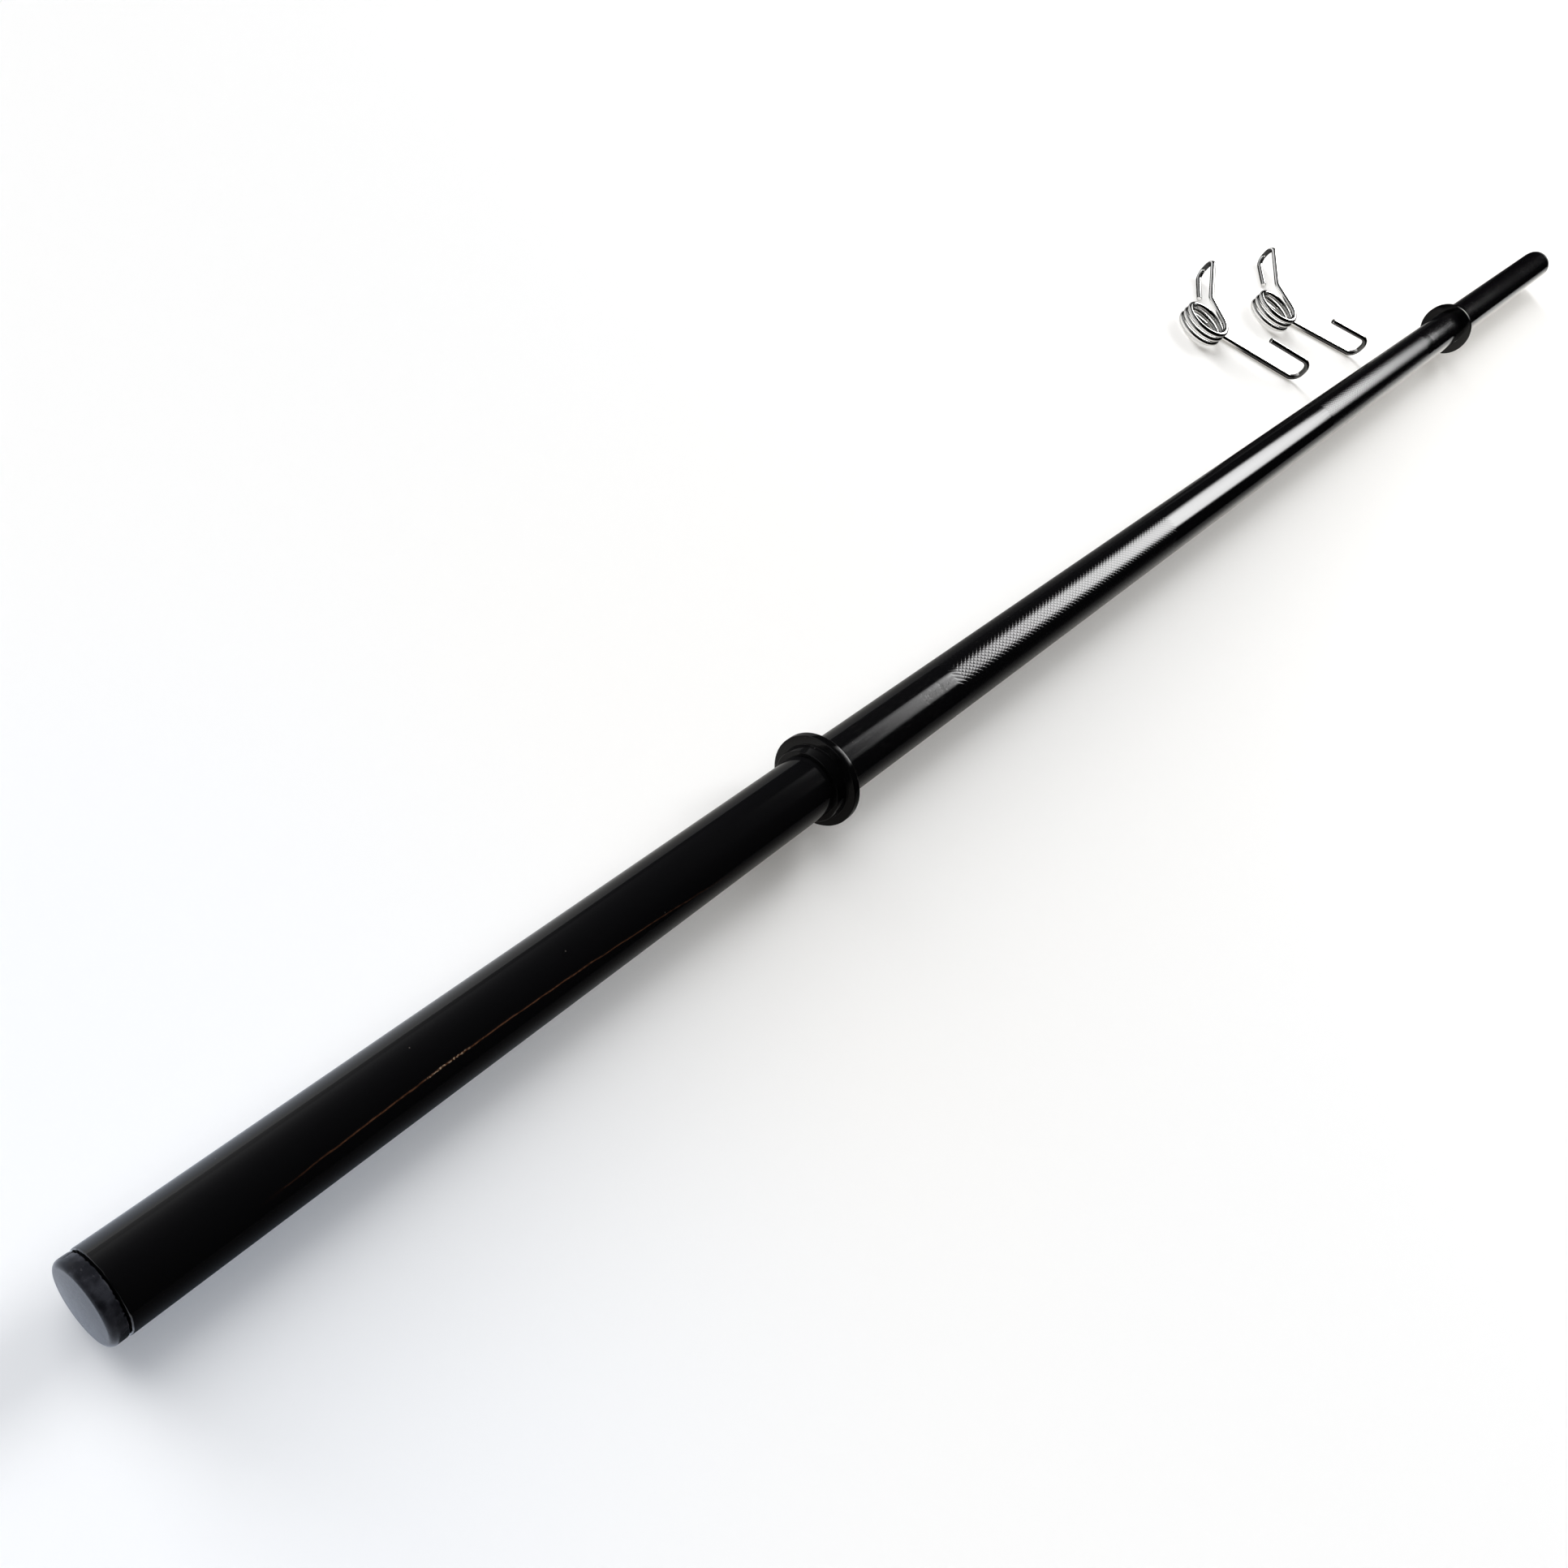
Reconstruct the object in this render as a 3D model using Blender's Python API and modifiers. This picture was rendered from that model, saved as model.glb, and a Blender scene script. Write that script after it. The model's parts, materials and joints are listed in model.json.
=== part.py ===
"""A hollow one-inch exercise bar with two stop collars, two end plugs and two wire spring clips.

The bar lies on its collars along X. The clips stand beside it on +Y. Metres, +Z up. The origin is on the
floor, in the middle of the set's footprint.
"""
from math import cos, pi, radians, sin, tan

import bpy
from mathutils import Matrix, Vector

# Bar tube
tube_diameter = 0.0254
tube_wall = 0.0025
tube_length = 1.460
tube_edge_chamfer = 0.0004

# Stop collars: a flange with a low hub on the side of the plates
sleeve_length = 0.2945
flange_height = 0.0063
flange_thickness = 0.0038
flange_edge_round = 0.0008
hub_wall = 0.00255
hub_length = 0.0048
hub_edge_round = 0.0010

# End plugs: a flat head on a ribbed hollow stem
plug_head_length = 0.0050
plug_head_step = 0.0002
plug_edge_round = 0.0013
plug_stem_length = 0.0220
plug_stem_wall = 0.0018
plug_rib_height = 0.0008
plug_rib_width = 0.0020
plug_rib_count = 3

# Spring clips: one wire each, wound round the bar's own size
wire_diameter = 0.0034
clip_grip = 0.0004
coil_turns = 3
coil_turn_gap = 0.00055
coil_short_deg = 49.0

# Handles of a clip: a level run off the coil, a kink, a leg, a hairpin bend and a return leg
squeeze_handle = {"run": 0.0206, "kink_deg": 29.0, "leg": 0.0437, "return": 0.0298, "bend": 0.0045}
floor_handle = {"run": 0.0143, "kink_deg": 18.0, "leg": 0.0711, "return": 0.0370, "bend": 0.0065}
kink_bend = 0.0100
hairpin_height = 0.01526
floor_clearance = 0.0003

# Clips on the floor: the coil's distance along the bar, the least gap from clip to tube, the coil's turn
clip_places = {
    "clip_a": {"along": 0.1272, "clear_of_tube": 0.0198, "turn_deg": -28.2},
    "clip_b": {"along": 0.2293, "clear_of_tube": 0.0118, "turn_deg": -22.5},
}

# Fits
seat_gap = 0.0003
merge_distance = 0.00001

# Facets
round_sides = 48
arc_segments = 3
bend_segments = 6
points_per_turn = 24

# Worked out from the sizes above
tube_radius = tube_diameter / 2
tube_bore_radius = tube_radius - tube_wall
collar_radius = tube_radius + flange_height
hub_radius = tube_radius + hub_wall
plug_head_radius = tube_radius - plug_head_step
plug_rib_radius = tube_bore_radius - seat_gap
plug_stem_radius = plug_rib_radius - plug_rib_height
wire_radius = wire_diameter / 2
clip_bore = tube_diameter - clip_grip
coil_radius = (clip_bore + wire_diameter) / 2
coil_sweep = radians(360 * coil_turns - coil_short_deg)
coil_climb = (wire_diameter + coil_turn_gap) * coil_sweep / (2 * pi)
wire_low = wire_radius
wire_high = wire_low + coil_climb
leg_high = wire_low + hairpin_height


def clear_scene():
    for obj in list(bpy.data.objects):
        bpy.data.objects.remove(obj, do_unlink=True)


def make_collection(name):
    collection = bpy.data.collections.new(name)
    bpy.context.scene.collection.children.link(collection)
    return collection


def make_material(name, colour, roughness, metallic, coat=0.0):
    material = bpy.data.materials.new(name)
    material.use_nodes = True
    shader = material.node_tree.nodes["Principled BSDF"]
    shader.inputs["Base Color"].default_value = (*colour, 1.0)
    shader.inputs["Roughness"].default_value = roughness
    shader.inputs["Metallic"].default_value = metallic
    shader.inputs["Coat Weight"].default_value = coat
    material.diffuse_color = (*colour, 1.0)
    return material


def add_object(name, data, material, parent, collection):
    obj = bpy.data.objects.new(name, data)
    data.materials.clear()
    data.materials.append(material)
    collection.objects.link(obj)
    obj.parent = parent
    return obj


def rounded_outline(corners, segments, closed):
    """The corners (point, radius) as a list of points, each corner with a radius drawn as an arc."""
    outline = []
    count = len(corners)
    for index, (corner, radius) in enumerate(corners):
        corner = Vector(corner)
        at_end = not closed and index in (0, count - 1)
        if radius == 0 or at_end:
            outline.append(corner)
            continue
        before = Vector(corners[index - 1][0]) - corner
        after = Vector(corners[(index + 1) % count][0]) - corner
        half_angle = before.angle(after) / 2
        setback = radius / tan(half_angle)
        first = corner + before.normalized() * setback
        middle = (before.normalized() + after.normalized()).normalized()
        centre = corner + middle * radius / sin(half_angle)
        sweep_axis = before.cross(after).normalized()
        sweep = -(pi - 2 * half_angle)
        for step in range(segments + 1):
            turn = Matrix.Rotation(sweep * step / segments, 3, sweep_axis)
            outline.append(centre + turn @ (first - centre))
    return outline


def turned_mesh(name, corners, closed):
    """A profile of (radius, height) corners, outer side running down, turned about local Z."""
    outline = rounded_outline([((x, 0.0, z), r) for x, z, r in corners], arc_segments, closed)
    mesh = bpy.data.meshes.new(name)
    edges = [(i, i + 1) for i in range(len(outline) - 1)]
    if closed:
        edges.append((len(outline) - 1, 0))
    mesh.from_pydata([tuple(point) for point in outline], edges, [])
    return mesh


def turn(obj):
    """Revolve a profile object once round its local Z axis."""
    screw = obj.modifiers.new("Turn", "SCREW")
    screw.steps = round_sides
    screw.render_steps = round_sides
    screw.use_merge_vertices = True
    screw.merge_threshold = merge_distance
    screw.use_smooth_shade = True
    screw.use_normal_calculate = False


def wire_curve(name, points, resolution):
    """A round wire with flat ends along a list of points."""
    curve = bpy.data.curves.new(name, "CURVE")
    curve.dimensions = "3D"
    curve.bevel_depth = wire_radius
    curve.bevel_resolution = resolution
    curve.use_fill_caps = True
    spline = curve.splines.new("POLY")
    spline.points.add(len(points) - 1)
    for place, point in zip(spline.points, points):
        place.co = (*point, 1.0)
    return curve


def coil_points():
    """The coil's centre line, from its top end down, clockwise from above, with straight ends."""
    steps = round(points_per_turn * coil_sweep / (2 * pi))
    points = [Vector((coil_radius, wire_diameter, wire_high))]
    for step in range(steps + 1):
        share = step / steps
        angle = -coil_sweep * share
        height = wire_high - coil_climb * share
        points.append(Vector((coil_radius * cos(angle), coil_radius * sin(angle), height)))
    way_out = Vector((sin(-coil_sweep), -cos(-coil_sweep), 0.0))
    points.append(points[-1] + way_out * wire_diameter)
    return points


def least_coil_gap(points):
    """The least clear distance between one turn's wire and the next, measured on the points."""
    least = 1.0
    near_turn = points_per_turn // 2
    for index, point in enumerate(points):
        for other in points[index + near_turn:]:
            least = min(least, (point - other).length - wire_diameter)
    return least


def handle_points(start_angle, side, sizes, heights):
    """A handle's centre line. It leaves the coil at start_angle, towards side (+1 is anticlockwise).

    The heights are the run's, the leg's at the hairpin bend, and the return leg's.
    """
    run_height, leg_height, return_height = heights
    root = Vector((coil_radius * cos(start_angle), coil_radius * sin(start_angle), run_height))
    way = Vector((-sin(start_angle), cos(start_angle), 0.0)) * side
    kink = root + way * sizes["run"]
    bend = min(sizes["bend"], abs(leg_height - return_height) / 2 - seat_gap)
    leg_way = Matrix.Rotation(-side * radians(sizes["kink_deg"]), 3, "Z") @ way
    near_corner = kink + leg_way * sizes["leg"]
    near_corner.z = leg_height
    far_corner = Vector((near_corner.x, near_corner.y, return_height))
    end = far_corner - leg_way * sizes["return"]
    start = root + way * (wire_diameter + seat_gap)
    corners = [(start, 0), (kink, kink_bend), (near_corner, bend), (far_corner, bend), (end, 0)]
    return rounded_outline(corners, bend_segments, False)


def squeeze_handle_points():
    return handle_points(0.0, 1, squeeze_handle, (wire_high, leg_high, wire_low + floor_clearance))


def floor_handle_points():
    return handle_points(-coil_sweep, -1, floor_handle, (wire_low, wire_low, leg_high))


def clip_distances(place):
    """How far a clip's coil axis, and its furthest wire, lie from the bar's axis, on +Y."""
    spin = Matrix.Rotation(radians(place["turn_deg"]), 3, "Z")
    wire = coil_points() + squeeze_handle_points() + floor_handle_points()
    offsets = [(spin @ point).y for point in wire]
    coil_distance = tube_radius + place["clear_of_tube"] + wire_radius - min(offsets)
    return coil_distance, coil_distance + max(offsets) + wire_radius


def make_tube(material, parent, collection):
    half = tube_length / 2
    chamfer = tube_edge_chamfer
    corners = [
        (tube_radius, half - chamfer, 0),
        (tube_radius, chamfer - half, 0),
        (tube_radius - chamfer, -half, 0),
        (tube_bore_radius, -half, 0),
        (tube_bore_radius, half, 0),
        (tube_radius - chamfer, half, 0),
    ]
    mesh = turned_mesh("bar_tube", corners, True)
    tube = add_object("bar_tube", mesh, material, parent, collection)
    tube.rotation_euler = (0, pi / 2, 0)
    turn(tube)


def make_collars(material, parent, collection):
    """Both collars share one mesh. Its local +Z points to the sleeve's end, with 0 on the flange's face."""
    bore = tube_radius + seat_gap
    corners = [
        (bore, hub_length, 0),
        (hub_radius, hub_length, hub_edge_round),
        (hub_radius, 0.0, 0),
        (collar_radius, 0.0, flange_edge_round),
        (collar_radius, -flange_thickness, flange_edge_round),
        (bore, -flange_thickness, 0),
    ]
    mesh = turned_mesh("collar", corners, True)
    shoulder = tube_length / 2 - sleeve_length
    for name, side in (("collar_near", -1), ("collar_far", 1)):
        collar = add_object(name, mesh, material, parent, collection)
        collar.location = (side * shoulder, 0, 0)
        collar.rotation_euler = (0, side * pi / 2, 0)
        turn(collar)


def make_plugs(material, parent, collection):
    """Both plugs share one mesh, whose local +Z points out of the tube, with 0 on the head's inner face."""
    corners = [
        (0.0, plug_head_length, 0),
        (plug_head_radius, plug_head_length, plug_edge_round),
        (plug_head_radius, 0.0, 0),
        (plug_stem_radius, 0.0, 0),
    ]
    space = (plug_stem_length - plug_rib_count * plug_rib_width) / (plug_rib_count + 1)
    for rib in range(plug_rib_count):
        top = -space - rib * (space + plug_rib_width)
        corners += [
            (plug_stem_radius, top, 0),
            (plug_rib_radius, top - plug_rib_height / 2, 0),
            (plug_rib_radius, top - plug_rib_width + plug_rib_height / 2, 0),
            (plug_stem_radius, top - plug_rib_width, 0),
        ]
    inner_radius = plug_stem_radius - plug_stem_wall
    corners += [
        (plug_stem_radius, -plug_stem_length, 0),
        (inner_radius, -plug_stem_length, 0),
        (inner_radius, 0.0, 0),
        (0.0, 0.0, 0),
    ]
    mesh = turned_mesh("end_plug", corners, False)
    seat = tube_length / 2 + seat_gap
    for name, side in (("end_plug_near", -1), ("end_plug_far", 1)):
        plug = add_object(name, mesh, material, parent, collection)
        plug.location = (side * seat, 0, 0)
        plug.rotation_euler = (0, side * pi / 2, 0)
        turn(plug)


def make_clip(name, place, material, parent, collection):
    """One spring clip about an empty on its coil's axis, which is the hinge of its squeeze handle."""
    axis = bpy.data.objects.new(name + "_axis", None)
    collection.objects.link(axis)
    axis.parent = parent
    axis.location = (place["along"], clip_distances(place)[0], -collar_radius)
    axis.rotation_euler = (0, 0, radians(place["turn_deg"]))
    pieces = {
        "coil": (coil_points(), 1),
        "floor_handle": (floor_handle_points(), 2),
        "squeeze_handle": (squeeze_handle_points(), 2),
    }
    for piece, (points, resolution) in pieces.items():
        curve = wire_curve(name + "_" + piece, points, resolution)
        add_object(name + "_" + piece, curve, material, axis, collection)


def main():
    clear_scene()
    collection = make_collection("barbell")
    black_paint = make_material("tube_paint", (0.012, 0.012, 0.014), 0.32, 0.0, 0.4)
    collar_paint = make_material("collar_paint", (0.010, 0.010, 0.011), 0.22, 0.0, 0.6)
    grey_plastic = make_material("plug_plastic", (0.060, 0.061, 0.068), 0.5, 0.0)
    clip_chrome = make_material("clip_chrome", (0.80, 0.80, 0.79), 0.10, 1.0)
    bar_axis = bpy.data.objects.new("bar_axis", None)
    collection.objects.link(bar_axis)
    furthest = max(clip_distances(place)[1] for place in clip_places.values())
    bar_axis.location = (0, -(furthest - collar_radius) / 2, collar_radius)
    make_tube(black_paint, bar_axis, collection)
    make_collars(collar_paint, bar_axis, collection)
    make_plugs(grey_plastic, bar_axis, collection)
    for name, place in clip_places.items():
        make_clip(name, place, clip_chrome, bar_axis, collection)
    print("bar axis y: %.4f m" % bar_axis.location.y)
    print("coil least gap to itself: %.2f mm" % (1000 * least_coil_gap(coil_points())))


main()
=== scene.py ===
import json
from math import cos, pi, radians, sin, tan

import bpy
import numpy as np
from mathutils import Matrix, Vector


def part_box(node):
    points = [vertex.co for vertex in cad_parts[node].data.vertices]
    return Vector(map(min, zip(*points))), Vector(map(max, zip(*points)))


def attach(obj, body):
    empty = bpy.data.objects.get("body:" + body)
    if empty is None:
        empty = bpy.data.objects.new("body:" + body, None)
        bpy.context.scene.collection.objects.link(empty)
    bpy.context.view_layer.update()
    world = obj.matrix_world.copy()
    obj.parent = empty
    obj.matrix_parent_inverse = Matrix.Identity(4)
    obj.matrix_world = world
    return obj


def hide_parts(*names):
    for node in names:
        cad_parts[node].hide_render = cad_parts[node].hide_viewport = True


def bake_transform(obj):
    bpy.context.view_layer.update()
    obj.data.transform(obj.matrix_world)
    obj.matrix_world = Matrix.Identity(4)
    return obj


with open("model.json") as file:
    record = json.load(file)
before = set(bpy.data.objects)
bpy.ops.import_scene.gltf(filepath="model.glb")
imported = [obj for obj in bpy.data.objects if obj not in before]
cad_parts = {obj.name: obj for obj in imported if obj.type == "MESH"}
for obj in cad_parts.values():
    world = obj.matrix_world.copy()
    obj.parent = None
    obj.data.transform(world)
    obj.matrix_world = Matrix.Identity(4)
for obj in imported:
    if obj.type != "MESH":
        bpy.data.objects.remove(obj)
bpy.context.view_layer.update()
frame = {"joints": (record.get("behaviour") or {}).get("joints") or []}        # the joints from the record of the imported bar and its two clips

# Places read from the frame: the tube's centre line lies along X
tubeLow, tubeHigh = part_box("bar_tube")
barY = (tubeLow.y + tubeHigh.y) / 2
barZ = (tubeLow.z + tubeHigh.z) / 2
tubeRadius = (tubeHigh.z - tubeLow.z) / 2
tubeEnd = tubeHigh.x
mm = 0.001
upward = (0.0, 0.0, 1.0)
white = (1.0, 1.0, 1.0, 1.0)
black = (0.0, 0.0, 0.0, 1.0)


class Value:
    # one output of a node; arithmetic on it adds Math nodes, and node() adds any other node
    def __init__(self, tree, socket=None):
        self.tree = tree
        self.socket = socket

    def node(self, kind, settings=None, inputs=None, output=0):
        # settings go in first, then each input's number, colour or link
        made = self.tree.nodes.new(kind)
        for name, setting in (settings or {}).items():
            if name == "stops":
                placeStops(made.color_ramp, setting)
            else:
                setattr(made, name, setting)
        for name, given in (inputs or {}).items():
            if isinstance(given, Value):
                self.tree.links.new(given.socket, made.inputs[name])
            else:
                made.inputs[name].default_value = given
        return Value(self.tree, made.outputs[output])

    def math(self, operation, *terms):
        return self.node("ShaderNodeMath", {"operation": operation}, dict(enumerate(terms)))

    def other(self, output):
        return Value(self.tree, self.socket.node.outputs[output])

    def __add__(self, term):
        return self.math("ADD", self, term)

    def __radd__(self, term):
        return self.math("ADD", term, self)

    def __sub__(self, term):
        return self.math("SUBTRACT", self, term)

    def __rsub__(self, term):
        return self.math("SUBTRACT", term, self)

    def __mul__(self, term):
        return self.math("MULTIPLY", self, term)

    def __rmul__(self, term):
        return self.math("MULTIPLY", term, self)

    def __truediv__(self, term):
        return self.math("DIVIDE", self, term)

    def __rtruediv__(self, term):
        return self.math("DIVIDE", term, self)

    def __pow__(self, term):
        return self.math("POWER", self, term)

    def __abs__(self):
        return self.math("ABSOLUTE", self)

    def rise(self, low, high):
        # 0 at low and 1 at high, with soft shoulders
        span = {"Value": self, "From Min": low, "From Max": high}
        return self.node("ShaderNodeMapRange", {"interpolation_type": "SMOOTHSTEP"}, span)

    def band(self, middle, half, soft):
        # 1 within half of middle, falling to 0 over soft on both sides
        return 1 - abs(self - middle).rise(half, half + soft)

    def noise(self, scale, detail=2.0, roughness=0.5):
        # this value is the place
        sizes = {"Vector": self, "Scale": scale, "Detail": detail, "Roughness": roughness}
        return self.node("ShaderNodeTexNoise", {}, sizes)

    def fromDots(self, scale):
        # distance from the nearest of many scattered dots; this value is the place
        return self.node("ShaderNodeTexVoronoi", {"feature": "F1"}, {"Vector": self, "Scale": scale})

    def stretched(self, factors):
        return self.node("ShaderNodeVectorMath", {"operation": "MULTIPLY"}, {0: self, 1: factors})

    def mix(self, first, second):
        # this value is the share of the second colour
        return self.node("ShaderNodeMix", {"data_type": "RGBA"}, {0: self, 6: first, 7: second}, 2)

    def ramp(self, stops):
        return self.node("ShaderNodeValToRGB", {"stops": stops}, {"Fac": self})

    def bump(self):
        # a shaded normal from this height in metres
        return self.node("ShaderNodeBump", {}, {"Strength": 1.0, "Distance": 1.0, "Height": self})


def placeStops(ramp, stops):
    # stops are (place, brightness) pairs along the ramp
    while len(ramp.elements) < len(stops):
        ramp.elements.new(0.5)
    for element, (place, level) in zip(ramp.elements, stops):
        element.position = place
        element.color = (level, level, level, 1.0)


def startMaterial(name):
    # a new material's tree, cleared but for its shader and output
    material = bpy.data.materials.new(name)
    material.use_nodes = True
    shader = material.node_tree.nodes["Principled BSDF"]
    return material, shader, Value(material.node_tree)


def feed(shader, **sockets):
    # numbers and colours are set on the shader's own sockets, and values are linked
    for name, given in sockets.items():
        socket = shader.inputs[name.replace("_", " ")]
        if isinstance(given, Value):
            given.tree.links.new(given.socket, socket)
        else:
            socket.default_value = given


def objectPlace(start):
    return start.node("ShaderNodeTexCoord", output="Object")


def barPlace(start):
    # the place measured from the bar's centre line, in millimetres
    return start.node("ShaderNodeMapping", {}, {
        "Vector": objectPlace(start), "Location": (0.0, -barY / mm, -barZ / mm), "Scale": (1 / mm,) * 3})


def unroll(start, centred):
    # the place along the bar, the angle round it from the top towards the clips, the same as a distance in
    # millimetres, and the surface laid flat
    along = start.node("ShaderNodeSeparateXYZ", {}, {0: centred})
    angle = start.math("ARCTAN2", along.other("Y"), along.other("Z"))
    arc = angle * (tubeRadius / mm)
    flat = start.node("ShaderNodeCombineXYZ", {}, {0: along, 1: arc})
    return along, angle, arc, flat


# Materials

knurl = {
    "start": 0.3456,          # outer end of each grip, from the bar's middle: a whole number of half pitches
    "end": 0.1235,
    "pitch": 3.2 * mm,        # along the bar, from groove to groove
    "aroundCount": 38,        # grooves of one hand met once round
    "samples": 4,             # rows and columns in a pitch
    "depth": 0.042 * mm,
    "offset": 4.6 * mm,       # the second roller starts this much later, and lifts half as much sooner
    "overrun": 2.0 * mm,      # the first roller lifts this far past the grip's end
    "fade": 1.5 * mm,         # a groove runs out over this length
    "cut": 0.027 * mm,        # the sharp cut in the bottom of a groove, and its half width in pitches
    "cutWidth": 0.20,
    "farWear": 0.6,           # the far grip's grooves are shallower by this share
}
tubePaint = {
    # a noise is (repeats in a millimetre, detail, roughness) and a band is (middle, half, soft); lengths in
    # the pattern are in millimetres, and a share is (none, full) of a noise
    "colour": (0.0030, 0.0030, 0.0034, 1.0),
    "specular": 0.30,           # specular level, where 0.5 is a plain lacquer
    "roughness": 0.085,
    "roughnessSpread": 0.03,
    "clouds": (0.035, 3.0),
    "grain": (1.6, 3.0),
    "peel": 0.006 * mm,         # the paint's orange peel
    "scuffBand": (392.0, 36.0, 8.0),    # the rubbed stretch, from the bar's middle
    "scuffStretch": (0.16, 1.6, 1.0),
    "scuffs": (1.0, 3.0, 0.6),
    "scuffShare": (0.52, 0.70),
    "scuffColour": (0.0070, 0.0068, 0.0068, 1.0),
    "scuffRoughness": 0.07,
    "scratchStretch": (1.0, 0.35, 1.0),
    "scratches": (0.55, 2.0),
    "scratchWidth": (0.004, 0.030),     # of the noise, about its middle level
    "scratchTop": (-0.4, 1.6, 1.6),     # the scratched strip, round the tube from its top
    "scratchBand": (360.0, 8.0, 5.0),   # and along it, from the bar's middle
    "scratchPatches": (0.30, 1.0),
    "scratchShare": (0.45, 0.55),
    "scratch": 0.030 * mm,
    "seamAngle": radians(-26.5),
    "seamWander": (0.11, 2.0),
    "seamSway": 0.8,
    "seamMiddle": 102.0,        # the seam's line bows away on both sides of this place, mm from the end
    "seamBow": 0.00036,         # sideways mm for each square mm
    "seamBand": (0.0, 0.10, 0.28),
    "seamBegins": (35.0, 75.0),         # from the near end
    "seamEnds": (120.0, 260.0),
    "seamBreaks": (0.45, 4.0, 0.7),
    "seamShare": (0.30, 0.62),
    "seamLeast": 0.35,          # how much of the seam shows at its breaks
    "seamColour": (0.085, 0.036, 0.018, 1.0),
    "seamRoughness": 0.25,
    "seamHeight": 0.030 * mm,
    "chipBand": (0.0, 0.16, 0.25),      # across the seam
    "chipPlace": (101.0, 6.0, 3.0),     # from the near end
    "chips": (1.4, 2.0),
    "chipShare": (0.50, 0.60),
    "chipColour": (0.42, 0.30, 0.20, 1.0),
    "chipDepth": 0.05 * mm,
    "dustScale": 0.16,
    "dustSize": (0.02, 0.05),
    "dustShare": (0.50, 0.58),
    "dustColour": (0.10, 0.09, 0.08, 1.0),
    "dustAmount": 0.5,
}


def knurlReach(late):
    # how far from the bar's middle one roller's grooves begin, and where they end
    return knurl["start"] - late, knurl["end"] - knurl["overrun"] + late * 0.5


def knurlCut(along, angle):
    # depth 0 to 1 of sharp grooves along two crossing helices: one pitch along the bar, or one groove's
    # width round it, is one turn, and a groove's bottom lies where the turns are a whole number
    turns = (along + knurl["start"] / mm) / (knurl["pitch"] / mm)
    around = angle * (knurl["aroundCount"] / (2 * pi))
    fromMiddle = abs(along)
    depth = None
    for phase, late in ((turns + around, 0.0), (turns - around, knurl["offset"])):
        outer, inner = (reach / mm for reach in knurlReach(late))
        fade = knurl["fade"] / mm
        here = fromMiddle.rise(inner, inner + fade) * (1 - fromMiddle.rise(outer - fade, outer))
        groove = (1 - phase.math("PINGPONG", phase, 0.5).rise(0.0, knurl["cutWidth"])) * here
        depth = groove if depth is None else groove.math("MAXIMUM", depth, groove)
    onFar = along.rise(-1.0, 1.0)
    return depth * (1 - onFar * (1 - knurl["farWear"]))


def makeTubePaint():
    size = tubePaint
    material, shader, start = startMaterial("tube_paint")
    centred = barPlace(start)
    along, angle, arc, flat = unroll(start, centred)
    fromMiddle = abs(along)
    fromEnd = tubeEnd / mm + along
    clouds = centred.noise(*size["clouds"])
    grain = centred.noise(*size["grain"])
    # rubbed bands between each collar and its grip, where plates and hands wear the gloss
    scuffs = flat.stretched(size["scuffStretch"]).noise(*size["scuffs"]).rise(*size["scuffShare"])
    scuffed = fromMiddle.band(*size["scuffBand"]) * scuffs
    # short scratches on the top of the tube where the knurling rollers came down
    lines = abs(flat.stretched(size["scratchStretch"]).noise(*size["scratches"]) - 0.5)
    patches = flat.noise(*size["scratchPatches"]).rise(*size["scratchShare"])
    scratched = (1 - lines.rise(*size["scratchWidth"])) * arc.band(*size["scratchTop"])
    scratched = scratched * fromMiddle.band(*size["scratchBand"]) * patches
    # the tube's weld seam on the near sleeve, brown where the paint is thin
    sway = (flat.noise(*size["seamWander"]) - 0.5) * size["seamSway"]
    bow = (fromEnd - size["seamMiddle"]) ** 2.0 * size["seamBow"]
    offSeam = arc - size["seamAngle"] * tubeRadius / mm - sway + bow
    seamLine = offSeam.band(*size["seamBand"])
    seamLine = seamLine * (fromEnd.rise(*size["seamBegins"]) * (1 - fromEnd.rise(*size["seamEnds"])))
    whole = flat.noise(*size["seamBreaks"]).rise(*size["seamShare"])
    seam = seamLine * (size["seamLeast"] + (1 - size["seamLeast"]) * whole)
    chips = offSeam.band(*size["chipBand"]) * fromEnd.band(*size["chipPlace"])
    chips = chips * flat.noise(*size["chips"]).rise(*size["chipShare"])
    dust = 1 - centred.fromDots(size["dustScale"]).rise(*size["dustSize"])
    dust = dust * clouds.rise(*size["dustShare"])
    colour = scuffed.mix(size["colour"], size["scuffColour"])
    colour = seam.mix(colour, size["seamColour"])
    colour = chips.mix(colour, size["chipColour"])
    colour = (dust * size["dustAmount"]).mix(colour, size["dustColour"])
    rough = size["roughness"] + ((clouds - 0.5) + (grain - 0.5)) * size["roughnessSpread"]
    rough = rough + scuffed * size["scuffRoughness"] + seam * size["seamRoughness"]
    height = grain * size["peel"] + seamLine * size["seamHeight"] - chips * size["chipDepth"]
    height = height - scratched * size["scratch"] - knurlCut(along, angle) * knurl["cut"]
    feed(shader, Base_Color=colour, Roughness=rough, Normal=height.bump(), Metallic=0.0,
         Specular_IOR_Level=size["specular"])
    return material


collarPaint = {
    "colour": (0.0022, 0.0022, 0.0024, 1.0),
    "specular": 0.30,
    "roughness": 0.06,
    "roughnessSpread": 0.06,
    "clouds": (0.12, 3.0),
    "ripples": (1.1, 3.0, 0.6),         # the weld's spatter under the paint
    "rippleHeight": 0.012 * mm,
    "speckScale": 0.30,
    "speckSize": (0.05, 0.11),
    "speckShare": (0.46, 0.54),
    "speckColour": (0.030, 0.028, 0.028, 1.0),
    "speckAmount": 0.8,
    "speckRoughness": 0.1,
    "speckHeight": 0.02 * mm,
}


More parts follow.
